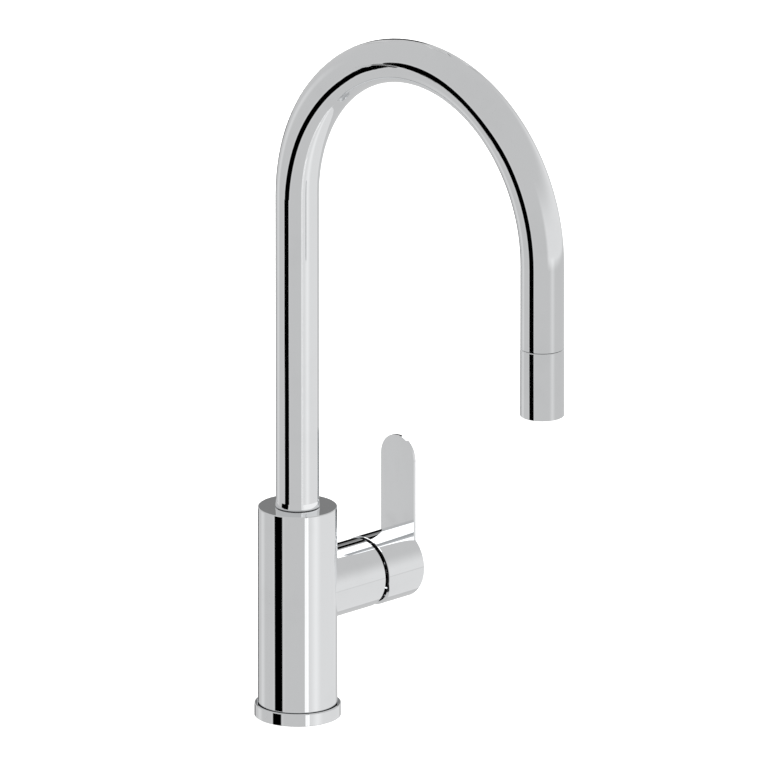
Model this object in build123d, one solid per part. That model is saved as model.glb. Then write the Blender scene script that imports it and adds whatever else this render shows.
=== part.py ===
from build123d import *
from math import asin, cos, radians, sin, sqrt
import os

# Single-lever kitchen mixer with a swivelling gooseneck spout and a pull-down spray head.
# Millimetres. Origin: centre of the base on the deck plane. +Z is up, the spout reaches
# towards -Y (the user's side) and the lever stands on the +X side.

# ---- driving dimensions -------------------------------------------------------------
BODY_R = 25.0
BODY_TOP_Z = 136.9
BODY_WALL = 2.6
LEVER_AXIS_Z = 80.7
SLEEVE_R = 22.1
SLEEVE_BORE_R = 19.6
SLEEVE_END_X = 56.3

TUBE_R = 13.65
TUBE_WALL = 1.5
TUBE_FOOT_R = 14.0
ARCH_CENTRE_Z = 340.7
ARCH_R = 107.8
REACH = 2 * ARCH_R
SPOUT_END_Z = 287.4

HEAD_R = 13.75
HEAD_WALL = 1.25
HEAD_TOP_Z = 287.0
HEAD_BOTTOM_Z = 243.4

FLANGE_R = 27.25
FLANGE_HEIGHT = 8.0
FLANGE_FLOOR = 2.2

# ---- deck fixing ----
DECK_THICKNESS = 30.0
SHANK_R = 17.0
SHANK_BORE_R = 14.9
SHANK_BOTTOM_Z = -52.0
THREAD_PITCH = 1.5
THREAD_DEPTH = 0.9
THREAD_TOP_Z = -6.5
WASHER_R = 25.0
RUBBER_LOW_Z = -DECK_THICKNESS - 3
NUT_TOP_Z = -DECK_THICKNESS - 5
NUT_HEIGHT = 9.0
NUT_CORNER_R = 27.0
NUT_FACE_R = 24.5
NUT_CHAMFER = 1.4
LOCK_SCREW_CIRCLE_R = 20.9
SET_SCREW_R = 2.5
SET_SCREW_HOLE_R = 2.55
KEY_SOCKET_R = 1.5
KEY_SOCKET_DEPTH = 3.0

# ---- water ports and passages of the valve block ----
PORT_R = 3.5
PORT_CIRCLE_R = 10.7
PORT_ANGLE = 55.0
PORT_FACE_Z = 12.0
HOT_PORT_DEPTH = 12.0
COLD_PORT_DEPTH = 11.0
MIXED_PORT_DEPTH = 10.0
BLOCK_R = BODY_R - BODY_WALL - 0.1
BLOCK_TOP_Z = BODY_TOP_Z - 3
HOT_COLD_DRILL = (9.5, 9.6)
HOT_COLD_DRILL_R = 3.0
HOT_COLD_LEVEL = LEVER_AXIS_Z - 5
MIXED_LEVEL = LEVER_AXIS_Z + 9
MIXED_DRILL_X = 11.6
MIXED_DRILL_R = 2.2
TUNNEL_R = 7.3
SOCKET_R = 13.0
SOCKET_FLOOR_Z = 104.0
LOCK_GROOVE_Z = 110.0
LOCK_GROOVE_R = 10.8

# ---- cartridge, stacked along X ----
CARTRIDGE_R = 17.5
CARTRIDGE_FLOOR_X = 15.0
BASE_X = (15.4, 18.0)
FIXED_DISC_X = (18.0, 22.0)
MOVING_DISC_X = (22.0, 25.4)
CARRIER_X = (25.4, 32.4)
ROTOR_X = (33.4, 47.0)
SHOULDER_X = (38.0, 44.0)
RETAINING_NUT_END_X = 51.8
PORTS_YZ = [(-9.6, -5.0), (9.6, -5.0), (0.0, 9.0)]
CARTRIDGE_PORT_R = 2.4
SEAL_SEAT_R = 4.0
SEAL_SEAT_DEPTH = 1.2
HOUSING_BORE_R = 15.0
SHOULDER_BORE_R = 12.55
FIXED_DISC_R = 14.9
MOVING_DISC_R = 12.8
ROTOR_R = 12.5
ROTOR_COLLAR_R = 14.8
PIVOT_X = 40.0
TILT = 25.0
SPINDLE_LEAN = TILT / 2
SPINDLE_ARM = 9.0
SPINDLE_SIDE = 8.0
SPINDLE_BALL_R = 2.4
SPINDLE_PIN_R = 1.45
DISC_OFFSET = SPINDLE_ARM * sin(radians(SPINDLE_LEAN))
DOME_R = 26.5
DOME_WALL = 1.5
DOME_HOLE_R = 10.8
DOME_SEAT_X = 52.2
DOME_SEAT_R = 18.0

# ---- lever ----
LEVER_R = 22.5
LEVER_RIM_X = 59.0
LEVER_END_X = 90.3
LEVER_END_WALL = 4.0
LEVER_BORE_R = 20.7
BLADE_HALF_WIDTH = 14.6
BLADE_THICKNESS = 1.8
BLADE_TOP_CENTRE_Z = 149.5
GRUB_X = 76.0
GRUB_LOW_Z = 76.0
GRUB_HIGH_Z = 84.0
KEY_HOLE_R = 3.0

# ---- spout ----
WASHER_THICKNESS = 0.5
TUBE_FOOT_Z = BODY_TOP_Z + WASHER_THICKNESS
FLARE_TOP_Z = TUBE_FOOT_Z + 5.0
JOURNAL_R = 12.6
BUSH_ROOT_R = 11.8
BUSH_BANDS = [(127.0, 132.0), (114.5, 119.5)]
O_RING_Z = 123.25
FOOT_BORE_R = 9.0

# ---- spray hose and head ----
HOSE_R = 6.0
HOSE_BORE_R = 3.6
HOSE_DROP_TOP_Z = 336.0
HOSE_END_Z = 280.0
RISER_TOP_Z = 136.0
RISER_BOTTOM_Z = -60.0
FERRULE_R = 7.0
FERRULE_TOP_Z = 298.0
HOSE_FLANGE_R = 8.0
HOSE_FLANGE_LOW_Z = 273.2
NUT_SOCKET_R = 10.0
NUT_SOCKET_FLOOR_Z = 272.0
SWIVEL_NUT_TOP_Z = 293.0
SPIGOT_R = 11.4
SPIGOT_TOP_Z = 299.5
CORE_LOW_Z = 254.6
VALVE_SEAT_Z = 262.4

RUNNING = 0.05
CHAMFER = 0.4

# The lever side of the body is turned about an axis along +X: local z runs along world X.
SIDE = Plane(origin=(0, 0, LEVER_AXIS_Z), x_dir=(0, 1, 0), z_dir=(1, 0, 0)).location
HEAD_AXIS = Pos(0, -REACH, 0)
PIVOT = (PIVOT_X, 0, LEVER_AXIS_Z)
LEANING = Pos(*PIVOT) * Rot(0, 90 - SPINDLE_LEAN, 0)


# ---- helpers ------------------------------------------------------------------------
def turned(points):
    """Solid of revolution about Z from a closed outline of (radius, height) points."""
    return revolve(Plane.XZ * make_face(Polyline(*points, close=True)), Axis.Z)


def ring(outer, inner, low, high):
    """Plain ring about Z."""
    return turned([(inner, low), (outer, low), (outer, high), (inner, high)])


def rod(radius, low, high):
    """Plain cylinder about Z between two heights."""
    return Pos(0, 0, (low + high) / 2) * Cylinder(radius, high - low)


def side_ring(outer, inner, start, end):
    """Ring about the lever axis between two X positions."""
    return SIDE * ring(outer, inner, start, end)


def side_rod(radius, start, end):
    """Cylinder about the lever axis between two X positions."""
    return SIDE * rod(radius, start, end)


def thread_outline(crest, low, high):
    """Crests and roots of a 60 degree thread, as (radius, height) points going up."""
    points = []
    for turn in range(round((high - low) / THREAD_PITCH)):
        z = low + turn * THREAD_PITCH
        points.append((crest, z))
        points.append((crest - THREAD_DEPTH, z + THREAD_PITCH / 2))
    points.append((crest, high))
    return points


def ring_of(count, radius, make, start=0.0):
    """The same piece repeated around Z."""
    step = 360 / count
    return [Rot(0, 0, start + i * step) * Pos(radius, 0, 0) * make() for i in range(count)]


# ---- base and deck fixing -----------------------------------------------------------
def base_flange():
    """Cup-shaped flange that the body stands in, with a groove for its gasket below."""
    rim_inner = BODY_R + 0.9
    outline = [
        (SHANK_R + 0.6, 0),
        (20.2, 0),
        (20.2, 1.5),
        (23.6, 1.5),
        (23.6, 0),
        (FLANGE_R - 0.2, 0),
        (FLANGE_R, 0.2),
        (FLANGE_R, FLANGE_HEIGHT - CHAMFER),
        (FLANGE_R - CHAMFER, FLANGE_HEIGHT),
        (rim_inner, FLANGE_HEIGHT),
        (rim_inner, FLANGE_FLOOR),
        (SHANK_R + 0.6, FLANGE_FLOOR),
    ]
    return turned(outline)


def flange_gasket():
    """Sealing ring that lies in the flange's groove, flush with its underside."""
    return ring(23.5, 20.3, 0, 1.45)


def mounting_shank():
    """Hollow threaded pipe that goes down through the deck hole."""
    top = PORT_FACE_Z - 0.1
    threads = thread_outline(SHANK_R, SHANK_BOTTOM_Z + 0.5, THREAD_TOP_Z)
    outline = [(SHANK_BORE_R, SHANK_BOTTOM_Z), (SHANK_R - 1, SHANK_BOTTOM_Z)]
    outline += threads + [(SHANK_R, top), (SHANK_BORE_R, top)]
    return turned(outline)


def deck_rubber_washer():
    """Rubber washer against the underside of the deck."""
    return ring(WASHER_R, SHANK_R + 0.3, RUBBER_LOW_Z, -DECK_THICKNESS)


def deck_steel_washer():
    """Steel pressure washer below the rubber one."""
    return ring(WASHER_R, SHANK_R + 0.3, NUT_TOP_Z, RUBBER_LOW_Z)


def lock_screw_hole():
    """Tapped hole for one lock screw."""
    return rod(SET_SCREW_HOLE_R, NUT_TOP_Z - NUT_HEIGHT - 1, NUT_TOP_Z + 1)


def mounting_nut():
    """Hexagon nut on the shank, with tapped holes for its lock screws."""
    low = NUT_TOP_Z - NUT_HEIGHT
    hexagon = Pos(0, 0, low) * extrude(RegularPolygon(NUT_CORNER_R, 6), NUT_HEIGHT)
    hexagon &= turned(
        [
            (0, low),
            (NUT_FACE_R, low),
            (NUT_CORNER_R, low + NUT_CHAMFER),
            (NUT_CORNER_R, NUT_TOP_Z - NUT_CHAMFER),
            (NUT_FACE_R, NUT_TOP_Z),
            (0, NUT_TOP_Z),
        ]
    )
    bore = [(0, low)] + thread_outline(SHANK_R + 0.1, low, NUT_TOP_Z) + [(0, NUT_TOP_Z)]
    return hexagon - turned(bore) - ring_of(3, LOCK_SCREW_CIRCLE_R, lock_screw_hole, 30)


def set_screw(low, high):
    """Socket set screw along Z, with its key socket at the lower end."""
    socket = Pos(0, 0, low) * extrude(RegularPolygon(KEY_SOCKET_R, 6), KEY_SOCKET_DEPTH)
    return rod(SET_SCREW_R, low, high) - socket


def lock_screw():
    """One set screw through the mounting nut."""
    return set_screw(NUT_TOP_Z - 15, NUT_TOP_Z)


def nut_lock_screws():
    """Three set screws that press the steel washer up against the deck."""
    return ring_of(3, LOCK_SCREW_CIRCLE_R, lock_screw, 30)


# ---- mixer body ---------------------------------------------------------------------
def body_shell():
    """Polished casing: upright drum, closed top with the spout hole, and the side sleeve."""
    low = FLANGE_FLOOR
    inner = BODY_R - BODY_WALL
    drum = turned(
        [
            (0, low),
            (BODY_R - CHAMFER, low),
            (BODY_R, low + CHAMFER),
            (BODY_R, BODY_TOP_Z - 0.5),
            (BODY_R - 0.5, BODY_TOP_Z),
            (0, BODY_TOP_Z),
        ]
    )
    sleeve = SIDE * turned(
        [
            (0, 0),
            (SLEEVE_R, 0),
            (SLEEVE_R, SLEEVE_END_X - 0.3),
            (SLEEVE_R - 0.3, SLEEVE_END_X),
            (0, SLEEVE_END_X),
        ]
    )
    cavity = rod(inner, low - 1, BLOCK_TOP_Z)
    sleeve_bore = side_rod(SLEEVE_BORE_R, 10, SLEEVE_END_X + 1)
    spout_hole = rod(SOCKET_R, BLOCK_TOP_Z - 1, BODY_TOP_Z + 1)
    screw_hole = Pos(0, 20, LOCK_GROOVE_Z) * Rot(-90, 0, 0) * rod(SET_SCREW_HOLE_R, 0, 8)
    return drum + sleeve - cavity - sleeve_bore - spout_hole - screw_hole


def valve_block():
    """Brass core with the hose tunnel, spout socket, cartridge pocket and waterways."""
    block = rod(BLOCK_R, FLANGE_FLOOR, BLOCK_TOP_Z)
    block -= rod(SHANK_R + RUNNING, FLANGE_FLOOR - 1, PORT_FACE_Z)
    block -= rod(TUNNEL_R, 0, BODY_TOP_Z)
    block -= rod(SOCKET_R, SOCKET_FLOOR_Z, BODY_TOP_Z)
    block -= side_rod(CARTRIDGE_R + RUNNING, CARTRIDGE_FLOOR_X, BODY_R)
    block -= Pos(0, 12, LOCK_GROOVE_Z) * Rot(-90, 0, 0) * rod(SET_SCREW_HOLE_R, 0, 12)
    depths = {PORT_ANGLE: HOT_PORT_DEPTH, -PORT_ANGLE: COLD_PORT_DEPTH, 0: MIXED_PORT_DEPTH}
    for angle, depth in depths.items():
        port = Pos(PORT_CIRCLE_R, 0, 0) * rod(PORT_R, PORT_FACE_Z - 1, PORT_FACE_Z + depth)
        block -= Rot(0, 0, angle) * port
    for side, depth in ((1, HOT_PORT_DEPTH), (-1, COLD_PORT_DEPTH)):
        x, y = HOT_COLD_DRILL
        rise = rod(HOT_COLD_DRILL_R, PORT_FACE_Z + depth - 1, HOT_COLD_LEVEL + 2)
        block -= Pos(x, side * y, 0) * rise
        cross = Rot(0, 90, 0) * rod(HOT_COLD_DRILL_R, x, CARTRIDGE_FLOOR_X + 1)
        block -= Pos(0, side * y, HOT_COLD_LEVEL) * cross
    mixed_low = PORT_FACE_Z + MIXED_PORT_DEPTH - 1
    block -= Pos(MIXED_DRILL_X, 0, 0) * rod(MIXED_DRILL_R, mixed_low, MIXED_LEVEL + 2)
    cross = Rot(0, 90, 0) * rod(MIXED_DRILL_R, MIXED_DRILL_X, CARTRIDGE_FLOOR_X + 1)
    return block - Pos(0, 0, MIXED_LEVEL) * cross


def hose_guide_sleeve():
    """Plastic liner that keeps the hose off the brass edges of the tunnel."""
    return ring(TUNNEL_R - RUNNING, HOSE_R + 0.4, PORT_FACE_Z + 1, SOCKET_FLOOR_Z - 0.5)


# ---- cartridge ----------------------------------------------------------------------
def at_ports(piece):
    """The same piece at each of the cartridge's three water ports."""
    return [SIDE * Pos(y, z, 0) * piece for y, z in PORTS_YZ]


def cartridge_base():
    """Plastic base plate with three water ports, each with a seat for its seal."""
    plate = side_rod(CARTRIDGE_R, *BASE_X)
    plate -= at_ports(rod(CARTRIDGE_PORT_R, BASE_X[0] - 1, BASE_X[1] + 1))
    return plate - at_ports(rod(SEAL_SEAT_R, BASE_X[0] - 1, BASE_X[0] + SEAL_SEAT_DEPTH))


def cartridge_port_seals():
    """Three rubber rings between the base plate and the floor of the pocket."""
    high = BASE_X[0] + SEAL_SEAT_DEPTH
    return at_ports(ring(SEAL_SEAT_R - 0.1, CARTRIDGE_PORT_R, CARTRIDGE_FLOOR_X, high))


def cartridge_housing():
    """Plastic cup around the discs and the rotor."""
    cup = side_rod(CARTRIDGE_R, BASE_X[1], SHOULDER_X[1])
    cup -= side_rod(HOUSING_BORE_R, BASE_X[1] - 1, SHOULDER_X[0])
    return cup - side_rod(SHOULDER_BORE_R, BASE_X[1], SHOULDER_X[1] + 1)


def ceramic_disc_fixed():
    """Ceramic disc that stays put, with the hot, cold and mixed ports."""
    disc = side_rod(FIXED_DISC_R, *FIXED_DISC_X)
    return disc - at_ports(rod(CARTRIDGE_PORT_R, FIXED_DISC_X[0] - 1, FIXED_DISC_X[1] + 1))


def shifted(shape):
    """The moving disc and its carrier sit below the axis while the valve is shut."""
    return Pos(0, 0, -DISC_OFFSET) * shape


def ceramic_disc_moving():
    """Ceramic disc with a blind pocket that joins the ports as it slides."""
    disc = side_rod(MOVING_DISC_R, *MOVING_DISC_X)
    pocket = SIDE * Pos(0, 1.5, 0) * rod(7.0, MOVING_DISC_X[0] - 1, MOVING_DISC_X[0] + 1.8)
    return shifted(disc - pocket)


def disc_carrier():
    """Carrier behind the moving disc, with a socket that the spindle's ball end pushes."""
    block = side_rod(MOVING_DISC_R, *CARRIER_X)
    socket_x = PIVOT_X - SPINDLE_ARM - SPINDLE_BALL_R - 0.8
    return shifted(block - side_rod(SPINDLE_BALL_R + 0.1, socket_x, CARRIER_X[1] + 1))


def cartridge_rotor():
    """Turning core of the cartridge, slotted for the spindle."""
    body = side_rod(ROTOR_R, ROTOR_X[0], ROTOR_X[1])
    body += side_rod(ROTOR_COLLAR_R, ROTOR_X[0], SHOULDER_X[0] - 0.3)
    length = ROTOR_X[1] - ROTOR_X[0] + 2
    middle_x = (ROTOR_X[0] + ROTOR_X[1]) / 2
    slot = Pos(middle_x, 0, LEVER_AXIS_Z) * Box(length, SPINDLE_SIDE + 0.3, 18)
    pin_hole = Pos(*PIVOT) * Rot(90, 0, 0) * Cylinder(SPINDLE_PIN_R + RUNNING, 40)
    return body - slot - pin_hole


def spindle_pin():
    """Steel pin that the spindle rocks on."""
    return Pos(*PIVOT) * Rot(90, 0, 0) * Cylinder(SPINDLE_PIN_R, 24)


def cartridge_spindle():
    """Square metal stem with a ball end that shifts the ceramic disc."""
    stem = LEANING * Pos(0, 0, 20) * Box(SPINDLE_SIDE, SPINDLE_SIDE, 40)
    eye = Pos(*PIVOT) * Rot(90, 0, 0) * Cylinder(4.6, SPINDLE_SIDE)
    arm = LEANING * rod(1.9, -SPINDLE_ARM, 0)
    ball = LEANING * Pos(0, 0, -SPINDLE_ARM) * Sphere(SPINDLE_BALL_R)
    pin_hole = Pos(*PIVOT) * Rot(90, 0, 0) * Cylinder(SPINDLE_PIN_R + RUNNING, 10)
    return stem + eye + arm + ball - pin_hole


def cartridge_retaining_nut():
    """Brass ring nut that clamps the cartridge in its pocket, notched for a key."""
    nut = side_ring(SLEEVE_BORE_R - 0.1, 13.6, SHOULDER_X[1], RETAINING_NUT_END_X)
    for turn in range(6):
        nut -= SIDE * Rot(0, 0, turn * 60) * Pos(14.5, 0, 51) * Box(5, 3, 4)
    return nut


def on_ball(radius, r):
    """Outline point at distance r from the lever axis, on a ball about the pivot."""
    return (r, PIVOT_X + sqrt(radius**2 - r**2))


def ball_arc(radius, r_from, r_to):
    """Arc on that ball between two distances from the lever axis."""
    angle = (asin(r_from / radius) + asin(r_to / radius)) / 2
    middle = (radius * sin(angle), PIVOT_X + radius * cos(angle))
    return ThreePointArc(on_ball(radius, r_from), middle, on_ball(radius, r_to))


def cartridge_dome():
    """Ball-shaped cover in the joint between the sleeve and the lever."""
    inner_r = DOME_R - DOME_WALL
    rim = (sqrt(DOME_R**2 - (SLEEVE_END_X - PIVOT_X) ** 2), SLEEVE_END_X)
    seat_r = SLEEVE_BORE_R - 0.1
    foot = (DOME_SEAT_R, DOME_SEAT_X)
    edge = Line((seat_r, SLEEVE_END_X), rim)
    edge += ball_arc(DOME_R, rim[0], DOME_HOLE_R)
    edge += Line(on_ball(DOME_R, DOME_HOLE_R), on_ball(inner_r, DOME_HOLE_R))
    edge += ball_arc(inner_r, DOME_HOLE_R, DOME_SEAT_R)
    edge += Polyline(
        on_ball(inner_r, DOME_SEAT_R), foot, (seat_r, DOME_SEAT_X), (seat_r, SLEEVE_END_X)
    )
    return SIDE * revolve(Plane.XZ * make_face(edge), Axis.Z)


# ---- lever --------------------------------------------------------------------------
def lever_blade():
    """Thin upright plate with a round top, flush with the cap's end face."""
    outline = Pos(0, (BLADE_TOP_CENTRE_Z - LEVER_AXIS_Z) / 2) * Rectangle(
        2 * BLADE_HALF_WIDTH, BLADE_TOP_CENTRE_Z - LEVER_AXIS_Z
    )
    outline += Pos(0, BLADE_TOP_CENTRE_Z - LEVER_AXIS_Z) * Circle(BLADE_HALF_WIDTH)
    return SIDE * Pos(0, 0, LEVER_END_X - BLADE_THICKNESS) * extrude(outline, BLADE_THICKNESS)


def lever_handle():
    """Cast lever: hollow cap over the cartridge, upright blade and the hub for the spindle."""
    inner_end = LEVER_END_X - LEVER_END_WALL
    cap = SIDE * turned(
        [
            (LEVER_BORE_R, LEVER_RIM_X),
            (LEVER_R - 0.3, LEVER_RIM_X),
            (LEVER_R, LEVER_RIM_X + 0.3),
            (LEVER_R, LEVER_END_X - 0.3),
            (LEVER_R - 0.3, LEVER_END_X),
            (0, LEVER_END_X),
            (0, inner_end),
            (LEVER_BORE_R, inner_end),
        ]
    )
    relief = make_face(
        Polyline((57, 77.0), (LEVER_RIM_X, 77.0), (65.5, 57.0), (57, 57.0), close=True)
    )
    cap -= extrude(Plane.XZ * relief, 30, both=True)
    hub = LEANING * rod(10.0, DOME_R + 1, 60)
    hub &= side_rod(LEVER_BORE_R + 0.5, LEVER_RIM_X, inner_end + 1)
    handle = cap + hub + lever_blade()
    handle -= LEANING * Pos(0, 0, 20.5) * Box(SPINDLE_SIDE + 0.1, SPINDLE_SIDE + 0.1, 41)
    handle -= Pos(GRUB_X, 0, 0) * rod(SET_SCREW_HOLE_R, 70, 86)
    return handle - Pos(GRUB_X, 0, 0) * rod(KEY_HOLE_R, 50, 65)


def lever_grub_screw():
    """Socket set screw that grips the spindle's flat."""
    return Pos(GRUB_X, 0, 0) * set_screw(GRUB_LOW_Z, GRUB_HIGH_Z)


def lever_screw_cover():
    """Small plug over the hole for the set screw's key."""
    low = LEVER_AXIS_Z - LEVER_R + 0.15
    return Pos(GRUB_X, 0, 0) * rod(KEY_HOLE_R - RUNNING, low, LEVER_AXIS_Z - LEVER_BORE_R + 0.1)


# ---- spout --------------------------------------------------------------------------
def gooseneck_path(front_z, back_z):
    """Centreline: up the back leg, half round over the top, and down to the spout end."""
    rise = Line((0, 0, back_z), (0, 0, ARCH_CENTRE_Z))
    arch = ThreePointArc(
        (0, 0, ARCH_CENTRE_Z),
        (0, -ARCH_R, ARCH_CENTRE_Z + ARCH_R),
        (0, -REACH, ARCH_CENTRE_Z),
    )
    drop = Line((0, -REACH, ARCH_CENTRE_Z), (0, -REACH, front_z))
    return rise + arch + drop


def bent_pipe(outer, inner, front_z, back_z):
    """Round pipe along the gooseneck centreline."""
    path = gooseneck_path(front_z, back_z)
    start = Pos(0, 0, back_z)
    return sweep(start * Circle(outer), path) - sweep(start * Circle(inner), path)


def spout_tube():
    """Polished gooseneck tube, slightly flared where it meets the body."""
    bore = TUBE_R - TUBE_WALL
    flare = turned(
        [
            (bore, TUBE_FOOT_Z),
            (TUBE_FOOT_R, TUBE_FOOT_Z),
            (TUBE_FOOT_R, TUBE_FOOT_Z + 0.8),
            (TUBE_R, FLARE_TOP_Z - 1),
            (TUBE_R, FLARE_TOP_Z),
            (bore, FLARE_TOP_Z),
        ]
    )
    return flare + bent_pipe(TUBE_R, bore, SPOUT_END_Z, FLARE_TOP_Z)


def spout_slip_washer():
    """Thin plastic washer that the spout turns on."""
    return ring(TUBE_FOOT_R - 0.4, SOCKET_R + 0.05, BODY_TOP_Z, TUBE_FOOT_Z)


def spout_foot():
    """Brass plug in the tube's foot that turns in the body's socket."""
    outline = [
        (FOOT_BORE_R, SOCKET_FLOOR_Z + 1),
        (JOURNAL_R, SOCKET_FLOOR_Z + 1),
        (JOURNAL_R, LOCK_GROOVE_Z - 1.8),
        (LOCK_GROOVE_R, LOCK_GROOVE_Z - 1.8),
        (LOCK_GROOVE_R, LOCK_GROOVE_Z + 1.8),
        (JOURNAL_R, LOCK_GROOVE_Z + 1.8),
    ]
    bands = [BUSH_BANDS[1], (O_RING_Z - 1.4, O_RING_Z + 1.4), BUSH_BANDS[0]]
    for low, high in bands:
        outline += [(JOURNAL_R, low), (BUSH_ROOT_R, low), (BUSH_ROOT_R, high), (JOURNAL_R, high)]
    in_tube_r = TUBE_R - TUBE_WALL - RUNNING
    outline += [
        (JOURNAL_R, TUBE_FOOT_Z - 0.1),
        (in_tube_r, TUBE_FOOT_Z - 0.1),
        (in_tube_r, TUBE_FOOT_Z + 18),
        (FOOT_BORE_R, TUBE_FOOT_Z + 18),
    ]
    return turned(outline)


def swivel_bush(low, high):
    """Plastic bush in a groove of the spout's foot."""
    return ring(SOCKET_R - RUNNING, BUSH_ROOT_R + 0.02, low + 0.1, high - 0.1)


def swivel_bush_upper():
    """Bush just under the body's top."""
    return swivel_bush(*BUSH_BANDS[0])


def swivel_bush_lower():
    """Bush below the O-ring."""
    return swivel_bush(*BUSH_BANDS[1])


def spout_o_ring():
    """Rubber ring between the two bushes."""
    centre_r = (BUSH_ROOT_R + SOCKET_R) / 2
    section_r = (SOCKET_R - BUSH_ROOT_R) / 2 - 0.02
    return Pos(0, 0, O_RING_Z) * Torus(centre_r, section_r)


def spout_lock_screw():
    """Set screw in the back of the body; its tip runs in the foot's groove."""
    screw = Rot(180, 0, 0) * set_screw(-24.2, -13.4) + rod(1.5, 11.2, 13.4)
    return Pos(0, 0, LOCK_GROOVE_Z) * Rot(-90, 0, 0) * screw


def spout_end_bush():
    """Plastic collar in the spout's mouth that guides the hose and seats the head."""
    outer = TUBE_R - TUBE_WALL - RUNNING
    outline = [
        (11.55, SPOUT_END_Z + 0.6),
        (outer, SPOUT_END_Z + 0.6),
        (outer, SPOUT_END_Z + 28),
        (8.0, SPOUT_END_Z + 28),
        (7.2, SPOUT_END_Z + 22),
        (9.6, SPOUT_END_Z + 14),
        (11.55, SPOUT_END_Z + 13),
    ]
    return HEAD_AXIS * turned(outline)


# ---- spray hose ---------------------------------------------------------------------
def spray_hose_arch():
    """Hose inside the gooseneck, from the body's top to the straight drop."""
    return bent_pipe(HOSE_R, HOSE_BORE_R, HOSE_DROP_TOP_Z, RISER_TOP_Z)


def spray_hose_riser():
    """Hose inside the body and the shank."""
    return ring(HOSE_R, HOSE_BORE_R, RISER_BOTTOM_Z, RISER_TOP_Z)


def spray_hose_drop():
    """Straight stretch of hose above the head, drawn out as the head is pulled down."""
    return HEAD_AXIS * ring(HOSE_R, HOSE_BORE_R, HOSE_END_Z, HOSE_DROP_TOP_Z)


def hose_tail_coupling():
    """Quick coupling on the hose's lower end, with a grip groove."""
    low = RISER_BOTTOM_Z - 18
    outline = [
        (2.8, low),
        (5.2, low),
        (5.6, low + 0.4),
        (5.6, low + 6),
        (4.7, low + 6.4),
        (4.7, low + 8.2),
        (6.9, low + 8.6),
        (6.9, RISER_BOTTOM_Z),
        (2.8, RISER_BOTTOM_Z),
    ]
    return turned(outline)


def hose_ferrule():
    """Crimped metal end of the hose; its flange turns inside the swivel nut."""
    outline = [
        (HOSE_BORE_R, HOSE_FLANGE_LOW_Z),
        (HOSE_FLANGE_R, HOSE_FLANGE_LOW_Z),
        (HOSE_FLANGE_R, HOSE_FLANGE_LOW_Z + 3),
        (FERRULE_R, HOSE_FLANGE_LOW_Z + 4),
        (FERRULE_R, FERRULE_TOP_Z - 0.5),
        (HOSE_R + RUNNING, FERRULE_TOP_Z),
        (HOSE_R + RUNNING, HOSE_END_Z),
        (HOSE_BORE_R, HOSE_END_Z),
    ]
    return HEAD_AXIS * turned(outline)


# ---- spray head ---------------------------------------------------------------------
def hose_swivel_nut():
    """Brass nut that screws into the head and holds the hose's flange."""
    outline = [
        (HOSE_FLANGE_R + 0.1, HOSE_FLANGE_LOW_Z),
        (NUT_SOCKET_R - RUNNING, HOSE_FLANGE_LOW_Z),
        (NUT_SOCKET_R - RUNNING, SWIVEL_NUT_TOP_Z),
        (FERRULE_R + 0.08, SWIVEL_NUT_TOP_Z),
        (FERRULE_R + 0.08, HOSE_FLANGE_LOW_Z + 4.05),
        (HOSE_FLANGE_R + 0.1, HOSE_FLANGE_LOW_Z + 3.05),
    ]
    return HEAD_AXIS * turned(outline)


def head_inlet_seal():
    """Flat rubber washer between the hose's flange and the head's core."""
    return HEAD_AXIS * ring(HOSE_FLANGE_R, 3.8, NUT_SOCKET_FLOOR_Z, HOSE_FLANGE_LOW_Z)


def spray_head_shell():
    """Polished sleeve of the pull-down head."""
    inner = HEAD_R - HEAD_WALL
    outline = [
        (inner - 0.5, HEAD_BOTTOM_Z),
        (HEAD_R - 0.3, HEAD_BOTTOM_Z),
        (HEAD_R, HEAD_BOTTOM_Z + 0.3),
        (HEAD_R, HEAD_TOP_Z - 0.4),
        (HEAD_R - 0.4, HEAD_TOP_Z),
        (SPIGOT_R + RUNNING, HEAD_TOP_Z),
        (SPIGOT_R + RUNNING, HEAD_TOP_Z - 2),
        (inner, HEAD_TOP_Z - 2),
        (inner, CORE_LOW_Z),
        (inner - 0.5, CORE_LOW_Z - 0.5),
    ]
    return HEAD_AXIS * turned(outline)


def head_core():
    """Moulded water body of the head, with the spigot that docks in the spout's mouth."""
    low = CORE_LOW_Z
    outline = [
        (9.4, low),
        (12.4, low),
        (12.4, HEAD_TOP_Z - 2.1),
        (SPIGOT_R, HEAD_TOP_Z - 2.1),
        (SPIGOT_R, SPIGOT_TOP_Z - 1),
        (SPIGOT_R - 0.5, SPIGOT_TOP_Z),
        (NUT_SOCKET_R, SPIGOT_TOP_Z),
        (NUT_SOCKET_R, NUT_SOCKET_FLOOR_Z),
        (6.6, NUT_SOCKET_FLOOR_Z),
        (6.6, 261.0),
        (4.6, 261.0),
        (4.6, 259.5),
        (9.4, 257.5),
    ]
    return HEAD_AXIS * turned(outline)


def check_valve_body():
    """Small plastic cage that holds the non-return valve."""
    outline = [
        (3.2, 271.9),
        (3.2, 269.5),
        (5.6, 269.5),
        (5.6, VALVE_SEAT_Z),
        (2.0, VALVE_SEAT_Z),
        (2.0, 261.1),
        (6.5, 261.1),
        (6.5, 271.9),
    ]
    return HEAD_AXIS * turned(outline)


def check_valve_poppet():
    """Sprung plunger that stops water from running back."""
    outline = [(0, 269.3), (4.8, 269.3), (4.8, 268.2), (1.5, 267.6), (1.5, 265.0), (0, 265.0)]
    return HEAD_AXIS * turned(outline)


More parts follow.
